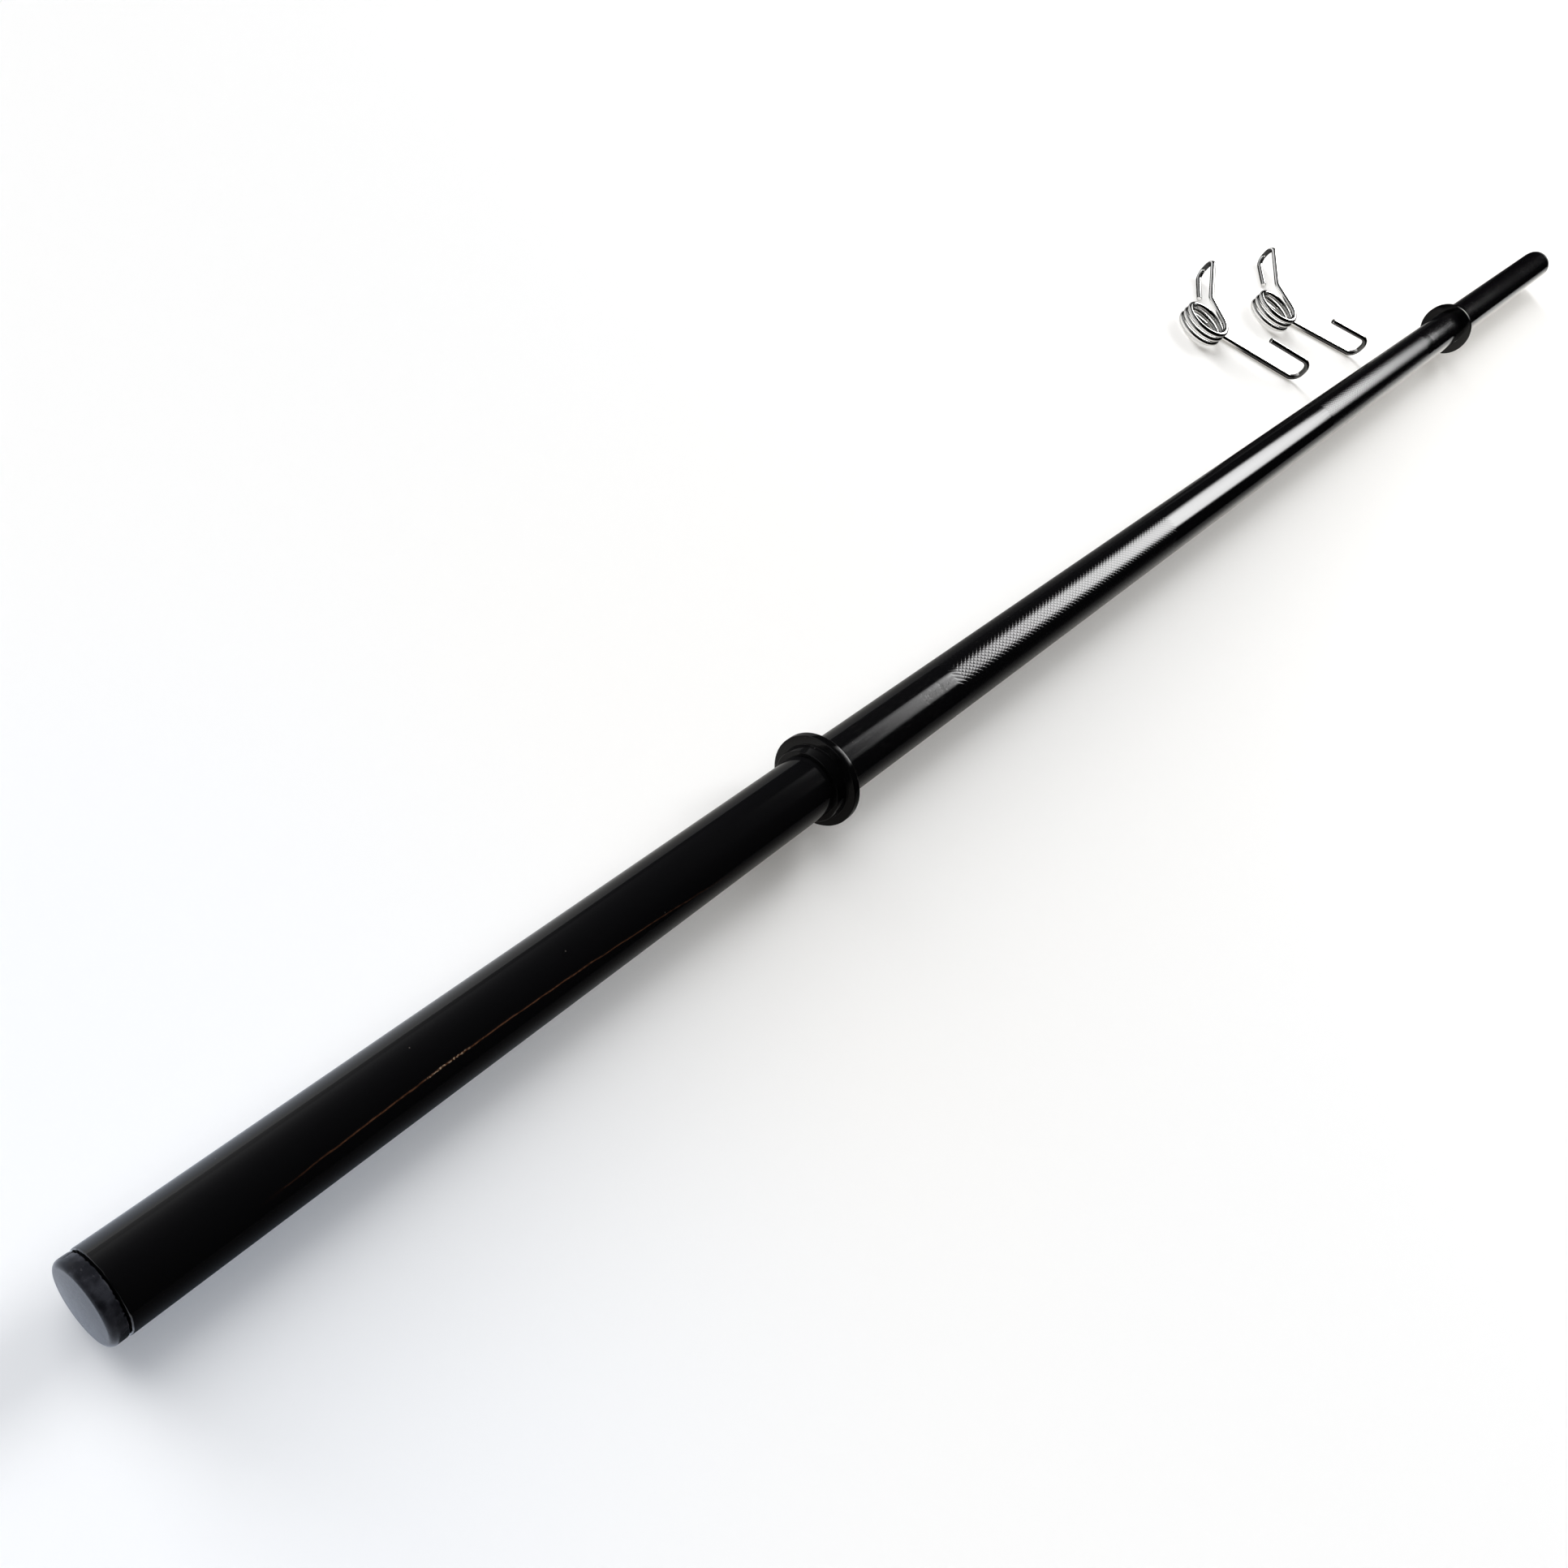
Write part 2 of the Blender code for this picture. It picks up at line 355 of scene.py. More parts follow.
def makeCollarPaint():
    size = collarPaint
    material, shader, start = startMaterial("collar_paint")
    centred = barPlace(start)
    clouds = centred.noise(*size["clouds"])
    specks = 1 - centred.fromDots(size["speckScale"]).rise(*size["speckSize"])
    specks = specks * clouds.rise(*size["speckShare"])
    colour = (specks * size["speckAmount"]).mix(size["colour"], size["speckColour"])
    rough = size["roughness"] + (clouds - 0.5) * size["roughnessSpread"] + specks * size["speckRoughness"]
    height = centred.noise(*size["ripples"]) * size["rippleHeight"] + specks * size["speckHeight"]
    feed(shader, Base_Color=colour, Roughness=rough, Normal=height.bump(), Metallic=0.0, IOR=1.5,
         Specular_IOR_Level=size["specular"])
    return material


plugPlastic = {
    "colour": (0.0085, 0.0090, 0.0115, 1.0),
    "paleColour": (0.024, 0.025, 0.031, 1.0),
    "specular": 0.09,
    # painted reflection colour: a blue tint on the plastic's reflections, standing in for cool light at the
    # near end
    "sheen": (0.88, 0.91, 1.0, 1.0),
    "roughness": 0.26,
    "cloudSpread": 0.12,        # how far the clouds and the grain change the roughness
    "grainSpread": 0.06,
    "clouds": (0.22, 3.0),
    "paleShare": (0.40, 0.64),
    "grain": (5.0, 2.0),
    "grainHeight": 0.012 * mm,
    "scratchStretch": (1.0, 0.25, 1.3),
    "scratches": (1.6, 3.0, 0.7),
    "scratchShare": (0.62, 0.72),
    "scratchColour": (0.050, 0.050, 0.056, 1.0),
    "scratchAmount": 0.5,
    "scratchDepth": 0.01 * mm,
}


def makePlugPlastic():
    size = plugPlastic
    material, shader, start = startMaterial("plug_plastic")
    centred = barPlace(start)
    clouds = centred.noise(*size["clouds"])
    grain = centred.noise(*size["grain"])
    scratches = centred.stretched(size["scratchStretch"]).noise(*size["scratches"])
    scratches = scratches.rise(*size["scratchShare"])
    colour = clouds.rise(*size["paleShare"]).mix(size["colour"], size["paleColour"])
    colour = (scratches * size["scratchAmount"]).mix(colour, size["scratchColour"])
    rough = size["roughness"] + (clouds - 0.5) * size["cloudSpread"] + (grain - 0.5) * size["grainSpread"]
    height = grain * size["grainHeight"] - scratches * size["scratchDepth"]
    # the blue specular tint paints the plug's reflections cooler
    feed(shader, Base_Color=colour, Roughness=rough, Normal=height.bump(), Metallic=0.0, IOR=1.48,
         Specular_IOR_Level=size["specular"], Specular_Tint=size["sheen"])
    return material


clipChrome = {
    "colour": (0.72, 0.72, 0.715, 1.0),
    "edge": (0.18, 0.18, 0.18, 1.0),    # painted dark rim: the reflections turn darker where the wire turns away
    "roughness": 0.045,
    "clouds": (0.30, 3.0),
    "dullShare": (0.58, 0.72),
    "dullColour": (0.60, 0.59, 0.58, 1.0),
    "dullAmount": 0.35,
    "hazeShare": (0.58, 0.78),
    "hazeRoughness": 0.06,
    "drawnStretch": (0.05, 3.0, 1.0),   # drawing lines, long and narrow
    "drawn": (1.0, 3.0, 0.6),
    "drawnRoughness": 0.04,
    "drawnHeight": 0.003 * mm,
}


def makeClipChrome():
    # drawing lines run along the wire, read from the wire's own UV map in millimetres
    size = clipChrome
    material, shader, start = startMaterial("clip_chrome")
    wire = start.node("ShaderNodeUVMap", {"uv_map": "surface"})
    lines = wire.stretched(size["drawnStretch"]).noise(*size["drawn"])
    clouds = wire.noise(*size["clouds"])
    dull = clouds.rise(*size["dullShare"]) * size["dullAmount"]
    colour = dull.mix(size["colour"], size["dullColour"])
    haze = clouds.rise(*size["hazeShare"]) * size["hazeRoughness"]
    rough = size["roughness"] + (lines - 0.5) * size["drawnRoughness"] + haze
    # the dark edge tint paints dark rims on the wire's reflections
    feed(shader, Base_Color=colour, Roughness=rough, Normal=(lines * size["drawnHeight"]).bump(),
         Metallic=1.0, Specular_Tint=size["edge"])
    return material


materials = {
    "tube_paint": makeTubePaint(),
    "collar_paint": makeCollarPaint(),
    "plug_plastic": makePlugPlastic(),
    "clip_chrome": makeClipChrome(),
}
print("materials made")


# Surfaces

sharpFrom = radians(38)     # an edge that turns more than this is drawn sharp


def gridObject(name, grid, measure, slotName, closeRows=False, poles=(None, None), otherCut=None):
    # a surface of rows along and columns round: each cell is cut into two triangles along one diagonal, or
    # along the other where otherCut says so. The columns close on themselves, and a pole closes an end with
    # a fan. measure is each row's distance along, and the whole way round, in millimetres
    rows, columns = grid.shape[:2]
    across = rows if closeRows else rows - 1
    first = np.arange(across)[:, None]
    around = np.arange(columns)[None, :]
    corner = first * columns + around
    nextRow = (first + 1) % rows * columns + around
    nextColumn = (around + 1) % columns
    beside = first * columns + nextColumn
    opposite = (first + 1) % rows * columns + nextColumn
    quads = np.stack([corner, nextRow, opposite, beside], -1).reshape(-1, 4)
    triangles = np.stack([quads[:, [0, 1, 2]], quads[:, [0, 2, 3]]], 1)
    if otherCut is not None:
        turned = np.stack([quads[:, [0, 1, 3]], quads[:, [1, 2, 3]]], 1)
        other = otherCut[:across].reshape(-1)
        triangles[other] = turned[other]
    faces = triangles.reshape(-1, 3)
    points = grid.reshape(-1, 3)
    ring = np.arange(columns)
    for pole, row, flip in ((poles[0], 0, False), (poles[1], rows - 1, True)):
        if pole is not None:
            tip = np.full(columns, len(points))
            points = np.vstack([points, pole])
            here = row * columns + ring
            there = row * columns + (ring + 1) % columns
            fan = np.stack([tip, there, here] if flip else [tip, here, there], -1)
            faces = np.vstack([faces, fan])
    mesh = bpy.data.meshes.new(name)
    mesh.vertices.add(len(points))
    mesh.vertices.foreach_set("co", points.astype(np.float32).ravel())
    mesh.loops.add(faces.size)
    mesh.loops.foreach_set("vertex_index", faces.astype(np.int32).ravel())
    mesh.polygons.add(len(faces))
    mesh.polygons.foreach_set("loop_start", np.arange(0, faces.size, 3, dtype=np.int32))
    mesh.update(calc_edges=True)
    # UV: distance along the rows and round the columns; the last column's far side isn't wrapped back
    column = faces % columns
    wrapped = (faces < rows * columns) & (column == 0) & (column.max(1, keepdims=True) == columns - 1)
    alongUv = np.where(faces < rows * columns, measure[0][np.minimum(faces // columns, rows - 1)], 0.0)
    roundUv = np.where(wrapped, columns, column) * (measure[1] / columns)
    layer = mesh.uv_layers.new(name="surface")
    layer.data.foreach_set("uv", np.stack([alongUv, roundUv], -1).astype(np.float32).ravel())
    mesh.validate()
    mesh.shade_smooth()
    mesh.set_sharp_from_angle(angle=sharpFrom)
    mesh.materials.append(materials[slotName])
    piece = bpy.data.objects.new(name, mesh)
    bpy.context.scene.collection.objects.link(piece)
    return piece


def ripple(angles, seed, amount, waves):
    # an even wandering round a ring: the sum of cosines of whole waves, from the first number of waves up to
    # the second, with seeded heights and phases, and amount at its highest
    draw = np.random.default_rng(seed)
    counts = np.arange(*waves)[:, None]
    heights = draw.normal(size=counts.shape)
    phases = draw.uniform(0, 2 * pi, counts.shape)
    curve = (heights * np.cos(counts * angles[None, :] + phases)).sum(0)
    return amount * curve / np.abs(curve).max()


def evenAngles(columns):
    return np.linspace(0, 2 * pi, columns, endpoint=False)


def repeated(values, columns):
    return np.repeat(values[:, None], columns, 1)


def turnedGrid(x, radius):
    # a profile turned about the bar's line: (x, barY + r sin a, barZ + r cos a) for angles a from the top
    angles = evenAngles(radius.shape[1])
    return np.stack([x, barY + radius * np.sin(angles), barZ + radius * np.cos(angles)], -1)


def rounded(start, corner, end, radius, steps):
    # an arc that touches both legs of a corner, with points at even angles: its centre c lies on the line
    # that halves the corner, and a point is c + (first sin((1 - s) t) + last sin(s t)) / sin t, for shares s
    # of the whole turn t
    start, corner, end = (np.array(p, float) for p in (start, corner, end))
    before = (start - corner) / np.linalg.norm(start - corner)
    after = (end - corner) / np.linalg.norm(end - corner)
    half = np.arccos(np.clip(before @ after, -1, 1)) / 2
    centre = corner + (before + after) / np.linalg.norm(before + after) * radius / sin(half)
    first = corner + before * radius / tan(half) - centre
    last = corner + after * radius / tan(half) - centre
    share = np.linspace(0, 1, steps + 1)[:, None]
    turn = pi - 2 * half
    return centre + (first * np.sin((1 - share) * turn) + last * np.sin(share * turn)) / sin(turn)


def roundedProfile(corners):
    # corners are (x, radius, arc radius, arc steps); arc radius 0 keeps the corner sharp
    count = len(corners)
    parts = []
    for index, (x, r, arc, steps) in enumerate(corners):
        if arc == 0:
            parts.append(np.array([[x, r]]))
        else:
            before = corners[index - 1][:2]
            after = corners[(index + 1) % count][:2]
            parts.append(rounded(before, (x, r), after, arc, steps))
    return np.vstack(parts)


def lengthAlong(points):
    # distance travelled along a row of points, in millimetres
    steps = np.linalg.norm(np.diff(points, axis=0), axis=1)
    return np.concatenate([[0.0], np.cumsum(steps)]) / mm


# Bar tube

tube = {
    "bore": tubeRadius - 2.5 * mm,
    "edge": 0.5 * mm,           # the rounding of the rims
    "chip": 0.16 * mm,
    "chipWaves": (5, 40),
    "chipLength": 1.5 * mm,     # the chipped rim fades into the tube over this length
    "ringAt": 0.356,            # faint turned ring beyond each grip
    "ringDepth": (0.006 * mm, 0.022 * mm),     # at the near and at the far end
    "ringWidth": 1.6 * mm,      # to each side
    "ringRoom": 3.0 * mm,       # plain rows keep this far from a ring, and from a grip's end
    "gripRoom": 1.0 * mm,
    "plainStep": 30 * mm,       # between rows where nothing happens
    "shortStep": 4 * mm,        # between a ring and a grip
    "boreStep": 30 * mm,
}


def plainRows(low, high, step):
    # even places from low up to but not including high, at least two
    return np.linspace(low, high, max(2, round((high - low) / step)), endpoint=False)


def tubeRows():
    # places along the tube: its rounded rims, rings and grips have close rows, and the rest has few
    rim = -tubeEnd + tube["edge"] * (1 - np.cos(np.linspace(0, pi / 2, 5)))
    ring = tube["ringAt"] + tube["ringWidth"] * np.linspace(-1.0, 1.0, 9)
    step = knurl["pitch"] / knurl["samples"]
    gripX = -knurl["start"] + np.arange(round((knurl["start"] - knurl["end"]) / step) + 1) * step
    half = np.concatenate([
        rim,
        plainRows(-tubeEnd + 2 * tube["edge"], -tube["ringAt"] - tube["ringRoom"], tube["plainStep"]),
        -ring[::-1],
        plainRows(-tube["ringAt"] + tube["ringRoom"], -knurl["start"] - step, tube["shortStep"]),
        gripX,
        plainRows(gripX[-1] + tube["gripRoom"], 0.0, tube["plainStep"]),
    ])
    return np.concatenate([half, [0.0], -half[::-1]]), abs(gripX[-1])


def makeTube():
    # radius = tube - rounded rim - ring hollow - groove depth, at each place along and angle round
    perPitch = knurl["samples"]
    columns = knurl["aroundCount"] * perPitch
    x, gripEnd = tubeRows()
    fromMiddle = np.abs(x)
    # rounded rims: quarter circles
    inRim = np.clip((fromMiddle - (tubeEnd - tube["edge"])) / tube["edge"], 0, 1)
    radius = tubeRadius - tube["edge"] * (1 - np.sqrt(1 - inRim ** 2))
    # turned rings: a shallow cosine hollow
    fromRing = np.clip((fromMiddle - tube["ringAt"]) / tube["ringWidth"], -1, 1)
    radius -= np.where(x < 0, *tube["ringDepth"]) * (0.5 + 0.5 * np.cos(pi * fromRing))
    radius = repeated(radius, columns)
    # knurl: V grooves along two crossing helices, whose phases are whole numbers in a groove's bottom
    row = np.round((knurl["start"] + x) / knurl["pitch"] * perPitch)[:, None]
    column = np.arange(columns)[None, :]
    slack = 0.1 * mm
    inside = (fromMiddle < knurl["start"] + slack) & (fromMiddle > gripEnd - slack)
    groove = np.zeros_like(radius)
    for hand, late in ((1, 0.0), (-1, knurl["offset"])):
        bottom = (row + hand * column).astype(int) % perPitch == 0
        outer, inner = knurlReach(late)
        fade = np.clip((outer - fromMiddle) / knurl["fade"], 0, 1)
        fade = fade * np.clip((fromMiddle - inner) / knurl["fade"], 0, 1)
        groove = np.maximum(groove, bottom * (inside * fade)[:, None])
    radius -= knurl["depth"] * groove * np.where(x < 0, 1.0, knurl["farWear"])[:, None]
    # each knurled cell is cut along whichever groove runs through it
    otherCut = inside[:, None] & (((row + column).astype(int) + 1) % perPitch == 0)
    # the rims are chipped: they wander a little along the bar
    chipped = np.clip((fromMiddle - (tubeEnd - tube["chipLength"])) / tube["chipLength"], 0, 1)[:, None]
    angles = evenAngles(columns)
    nearRim, farRim = (ripple(angles, seed, tube["chip"], tube["chipWaves"]) for seed in (3, 4))
    wander = np.abs(np.where(x[:, None] < 0, nearRim, farRim))
    xGrid = x[:, None] - np.sign(x)[:, None] * chipped * wander
    # the bore runs straight back from the far rim to the near one
    boreX = np.array([tubeEnd, tubeEnd - tube["boreStep"], -tubeEnd + tube["boreStep"], -tubeEnd])
    xGrid = np.vstack([xGrid, repeated(boreX, columns)])
    radius = np.vstack([radius, np.full((len(boreX), columns), tube["bore"])])
    otherCut = np.vstack([otherCut, np.zeros((len(boreX), columns), bool)])
    alongRow = lengthAlong(np.stack([np.concatenate([x, boreX]), radius[:, 0]], -1))
    piece = gridObject("bar_tube_painted", turnedGrid(xGrid, radius), (alongRow, 2 * pi * tubeRadius / mm),
                       "tube_paint", closeRows=True, otherCut=otherCut)
    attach(piece, "bar")
    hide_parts("bar_tube")
    print("tube:", len(piece.data.polygons), "triangles")


makeTube()


# Stop collars

collar = {
    "columns": 144,
    "fit": 0.05 * mm,           # between the tube and the collar's bore
    "flange": 3.8 * mm,         # its thickness
    "flangeRound": 0.42 * mm,
    "faceBevel": 0.35 * mm,     # the outer part of the flange's face falls away by this much
    "bevelWidth": 3.0 * mm,
    "bevelRound": 0.3 * mm,
    "hub": 2.55 * mm,           # its height over the tube, lower at its end and higher at its foot
    "hubDrop": 0.5 * mm,
    "hubFlare": 0.25 * mm,
    "hubRound": 0.45 * mm,
    "footRound": 0.25 * mm,
    "bead": 0.18 * mm,          # how far the weld's edge wanders, round the tube and along it
    "beadWaves": ((3, 16), (3, 14)),
    "beadGrows": 2.0 * mm,      # from the flange's face
    "beadOver": 0.4 * mm,       # from the tube, so the bore stays round
}


def makeCollar(node, side, seed):
    # a closed profile of the hub's end, the flange's face and rim, and its flat back, turned round the tube
    low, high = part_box(node)
    outer = (high.z - low.z) / 2
    hubEnd = low.x if side < 0 else high.x           # on the side of the plates
    back = high.x if side < 0 else low.x             # towards the grip
    face = side * (abs(back) + collar["flange"])
    hub = tubeRadius + collar["hub"]
    bore = tubeRadius + collar["fit"]
    profile = roundedProfile([
        (hubEnd, bore, 0, 0),
        (hubEnd, hub - collar["hubDrop"], collar["hubRound"], 6),
        (face, hub + collar["hubFlare"], collar["footRound"], 5),
        (face, outer - collar["bevelWidth"], collar["bevelRound"], 2),
        (face - side * collar["faceBevel"], outer, collar["flangeRound"], 7),
        (back, outer, collar["flangeRound"], 7),
        (back, bore, 0, 0),
    ])
    if side > 0:
        profile = profile[::-1]
    angles = evenAngles(collar["columns"])
    x, radius = (repeated(values, collar["columns"]) for values in profile.T)
    # the hub is a weld bead: its end and its foot wander round the tube
    fromFace = np.abs(x) - abs(face)
    onHub = np.clip(fromFace / collar["beadGrows"], 0, 1) * (radius > tubeRadius + collar["beadOver"])
    aroundWaves, alongWaves = collar["beadWaves"]
    radius = radius + onHub * ripple(angles, seed, collar["bead"], aroundWaves)
    x = x - side * onHub * np.abs(ripple(angles, seed + 1, collar["bead"], alongWaves))
    measure = (lengthAlong(profile), 2 * pi * outer / mm)
    piece = gridObject(node + "_welded", turnedGrid(x, radius), measure, "collar_paint", closeRows=True)
    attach(piece, "bar")
    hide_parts(node)


makeCollar("collar_near", -1, 11)
makeCollar("collar_far", 1, 21)
print("collars made")


# End plugs

plug = {
    "columns": 120,
    "seatGap": 0.3 * mm,        # from the tube's end to the back of the head
    "edgeRound": 1.7 * mm,
    "edgeRoom": 0.2 * mm,
    "crown": 0.25 * mm,         # the face bulges by this much, with rows at these shares of the way out
    "crownRows": (0.1, 0.3, 0.5, 0.7, 0.85, 1.0),
    "backRound": 0.5 * mm,
    "flash": 0.75 * mm,         # the ragged moulding edge at the back of the head
    "flashWaves": (4, 44),
    "flashLength": 0.9 * mm,
    "flashDepth": 1.2 * mm,
    "flashLean": 0.8,           # how far it draws forward, for each part inward
    "stemWall": 1.8 * mm,
    "stemRound": 0.3 * mm,
    "ribGap": 0.3 * mm,         # from the tube's bore
    "ribHeight": 0.8 * mm,
    "ribWidth": 2.0 * mm,
    "ribRound": 0.5 * mm,
    "ribCount": 3,
    "innerRing": 1.0 * mm,      # round the middle of the stem's inner end
}


def makePlug(node, side, seed):
    # a profile from the middle of the face over the head, along the ribbed stem and back up its inside
    low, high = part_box(node)
    faceX = max(abs(low.x), abs(high.x))
    stemX = min(abs(low.x), abs(high.x))
    head = (high.z - low.z) / 2
    seat = tubeEnd + plug["seatGap"]
    rib = tube["bore"] - plug["ribGap"]
    stem = rib - plug["ribHeight"]
    inner = stem - plug["stemWall"]
    # the face bulges as the square of the way out, up to the rounded edge
    flat = head - plug["edgeRound"] - plug["edgeRoom"]
    corners = [(faceX - plug["crown"] * share ** 2, flat * share, 0, 0) for share in plug["crownRows"]]
    corners += [
        (faceX - plug["crown"], head, plug["edgeRound"], 9),
        (seat, head, plug["backRound"], 4),
        (seat, stem, 0, 0),
    ]
    space = (seat - stemX - plug["ribCount"] * plug["ribWidth"]) / (plug["ribCount"] + 1)
    for number in range(plug["ribCount"]):
        top = seat - space - number * (space + plug["ribWidth"])
        corners += [
            (top, stem, 0, 0),
            (top - plug["ribWidth"] / 2, rib, plug["ribRound"], 4),
            (top - plug["ribWidth"], stem, 0, 0),
        ]
    corners += [
        (stemX, stem, plug["stemRound"], 2),
        (stemX, inner, plug["stemRound"], 2),
        (seat, inner, 0, 0),
        (seat, plug["innerRing"], 0, 0),
    ]
    profile = roundedProfile(corners)
    profile[:, 0] *= side
    poles = [(side * faceX, barY, barZ), (side * seat, barY, barZ)]
    if side > 0:
        profile = profile[::-1]
        poles = poles[::-1]
    angles = evenAngles(plug["columns"])
    x, radius = (repeated(values, plug["columns"]) for values in profile.T)
    # the back edge of the head is torn: it draws in and forward by turns
    fromSeat = np.abs(np.abs(x) - seat)
    atBack = np.clip(1 - fromSeat / plug["flashLength"], 0, 1) * (radius > head - plug["flashDepth"])
    torn = atBack * np.abs(ripple(angles, seed, plug["flash"], plug["flashWaves"]))
    grid = turnedGrid(x + side * torn * plug["flashLean"], radius - torn)
    measure = (lengthAlong(profile), 2 * pi * head / mm)
    piece = gridObject(node + "_moulded", grid, measure, "plug_plastic", poles=poles)
    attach(piece, "bar")
    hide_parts(node)


makePlug("end_plug_near", -1, 31)
makePlug("end_plug_far", 1, 41)
print("plugs made")


# Spring clips

clip = {
    "wire": 3.4 * mm,
    "sides": 20,
    "coilRadius": 14.2 * mm,
    "sweep": radians(1031),       # three turns less 49 degrees
    "pitch": 3.95 * mm,           # the coil's climb in a turn
    "hairpin": 15.26 * mm,        # height between a handle's leg and its return leg
    "coilStep": radians(7),
    "kinkBend": 10.0 * mm,
    "endChamfer": 0.25 * mm,
    "bendSteps": 12,
    "floorGap": 0.3 * mm,         # under the squeezed handle's return leg
    # each handle: run off the coil, kink, leg, return leg, and the hairpin's rounding
    "squeeze": {
        "run": 20.6 * mm, "kink": radians(29), "leg": 43.6 * mm, "back": 29.8 * mm, "bend": 6.4 * mm},
    "floor": {
        "run": 14.3 * mm, "kink": radians(18), "leg": 71.1 * mm, "back": 37.0 * mm, "bend": 6.5 * mm},
    "turned": {"clip_a": radians(-28.2), "clip_b": radians(-22.5)},
}
wireRadius = clip["wire"] / 2
coilClimb = clip["pitch"] * clip["sweep"] / (2 * pi)
wireLow = wireRadius
wireHigh = wireLow + coilClimb
legHigh = wireLow + clip["hairpin"]


def coilPath():
    # a helix from the top end down, clockwise from above, with a straight stub at each end
    steps = round(clip["sweep"] / clip["coilStep"])
    share = np.linspace(0, 1, steps + 1)
    angle = -clip["sweep"] * share
    height = wireHigh - coilClimb * share
    turns = np.stack([clip["coilRadius"] * np.cos(angle), clip["coilRadius"] * np.sin(angle), height], -1)
    first = np.array([clip["coilRadius"], clip["wire"], wireHigh])
    wayOut = np.array([sin(-clip["sweep"]), -cos(-clip["sweep"]), 0.0])
    last = turns[-1] + wayOut * clip["wire"]
    return np.vstack([first, turns, last])


def roundedPath(corners):
    # a line through corners (point, radius), with an arc at each corner between the two ends
    parts = [corners[0][0][None, :]]
    for index in range(1, len(corners) - 1):
        point, radius = corners[index]
        before, after = corners[index - 1][0], corners[index + 1][0]
        parts.append(rounded(before, point, after, radius, clip["bendSteps"]))
    parts.append(corners[-1][0][None, :])
    return np.vstack(parts)


def turnedFlat(points, angle):
    # (x cos a - y sin a, x sin a + y cos a, z)
    turn = np.array([[cos(angle), -sin(angle), 0.0], [sin(angle), cos(angle), 0.0], [0.0, 0.0, 1.0]])
    return points @ turn.T


def handlePath(startAngle, side, sizes, runHeight, legHeight, backHeight):
    # a level run off the coil, a kink, a leg, a hairpin up or down, and a return leg; also the way across it
    outward = turnedFlat(np.array([1.0, 0.0, 0.0]), startAngle)
    way = turnedFlat(np.array([0.0, 1.0, 0.0]), startAngle) * side
    legWay = turnedFlat(way, -side * sizes["kink"])
    root = outward * clip["coilRadius"] + np.array([0.0, 0.0, runHeight])
    kink = root + way * sizes["run"]
    nearCorner = (kink + legWay * sizes["leg"]) * (1, 1, 0) + np.array([0.0, 0.0, legHeight])
    farCorner = nearCorner * (1, 1, 0) + np.array([0.0, 0.0, backHeight])
    corners = [
        (root + way * clip["wire"], 0),
        (kink, clip["kinkBend"]),
        (nearCorner, sizes["bend"]),
        (farCorner, sizes["bend"]),
        (farCorner - legWay * sizes["back"], 0),
    ]
    return roundedPath(corners), np.cross(upward, legWay)


def wireGrid(path, reference, chamfered):
    # a circle carried along the path: centre + r (n cos a + b sin a), with n the reference made square to
    # the path and b square to both. The path's last end may be chamfered
    ahead = np.diff(path, axis=0)
    ahead /= np.linalg.norm(ahead, axis=1, keepdims=True)
    tangent = np.vstack([ahead[:1], ahead[1:] + ahead[:-1], ahead[-1:]])
    tangent /= np.linalg.norm(tangent, axis=1, keepdims=True)
    normal = reference - (tangent @ reference)[:, None] * tangent
    normal /= np.linalg.norm(normal, axis=1, keepdims=True)
    side = np.cross(tangent, normal)
    radius = np.full(len(path), wireRadius)
    if chamfered:
        cut = clip["endChamfer"]
        path = np.vstack([path[:-1], path[-1:] - tangent[-1:] * cut, path[-1:]])
        radius = np.append(radius, wireRadius - cut)
        normal, side = (np.vstack([rows, rows[-1:]]) for rows in (normal, side))
    angles = evenAngles(clip["sides"])[None, :, None]
    ring = normal[:, None, :] * np.cos(angles) + side[:, None, :] * np.sin(angles)
    return path[:, None, :] + radius[:, None, None] * ring, path


def addWire(node, name, axis, path, reference, chamfered):
    grid, path = wireGrid(path, np.array(reference), chamfered)
    # turned about Z and set on the coil's axis
    grid, path = (turnedFlat(points, clip["turned"][name]) + np.array([axis[0], axis[1], 0.0])
                  for points in (grid, path))
    # the rows are laid from the last end back, so that faces point outwards
    measure = (lengthAlong(path)[::-1], 2 * pi * wireRadius / mm)
    piece = gridObject(node + "_wire", grid[::-1], measure, "clip_chrome", poles=(path[-1], path[0]))
    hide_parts(node)
    return piece


def coilAxis(name):
    # the squeeze joint turns about the coil's centre line
    for joint in frame["joints"]:
        if joint["name"] == name + "_squeeze":
            return joint["pos_m"]


def makeClip(name):
    axis = coilAxis(name)
    coil = addWire(name + "_coil", name, axis, coilPath(), upward, False)
    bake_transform(coil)
    path, across = handlePath(-clip["sweep"], -1, clip["floor"], wireLow, wireLow, legHigh)
    floorHandle = addWire(name + "_floor_handle", name, axis, path, across, True)
    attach(floorHandle, name)
    path, across = handlePath(0.0, 1, clip["squeeze"], wireHigh, legHigh, wireLow + clip["floorGap"])
    squeezeHandle = addWire(name + "_squeeze_handle", name, axis, path, across, True)
    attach(squeezeHandle, name + "_squeeze_handle_body")


makeClip("clip_a")
makeClip("clip_b")
print("clips made")


# Floor, light and camera

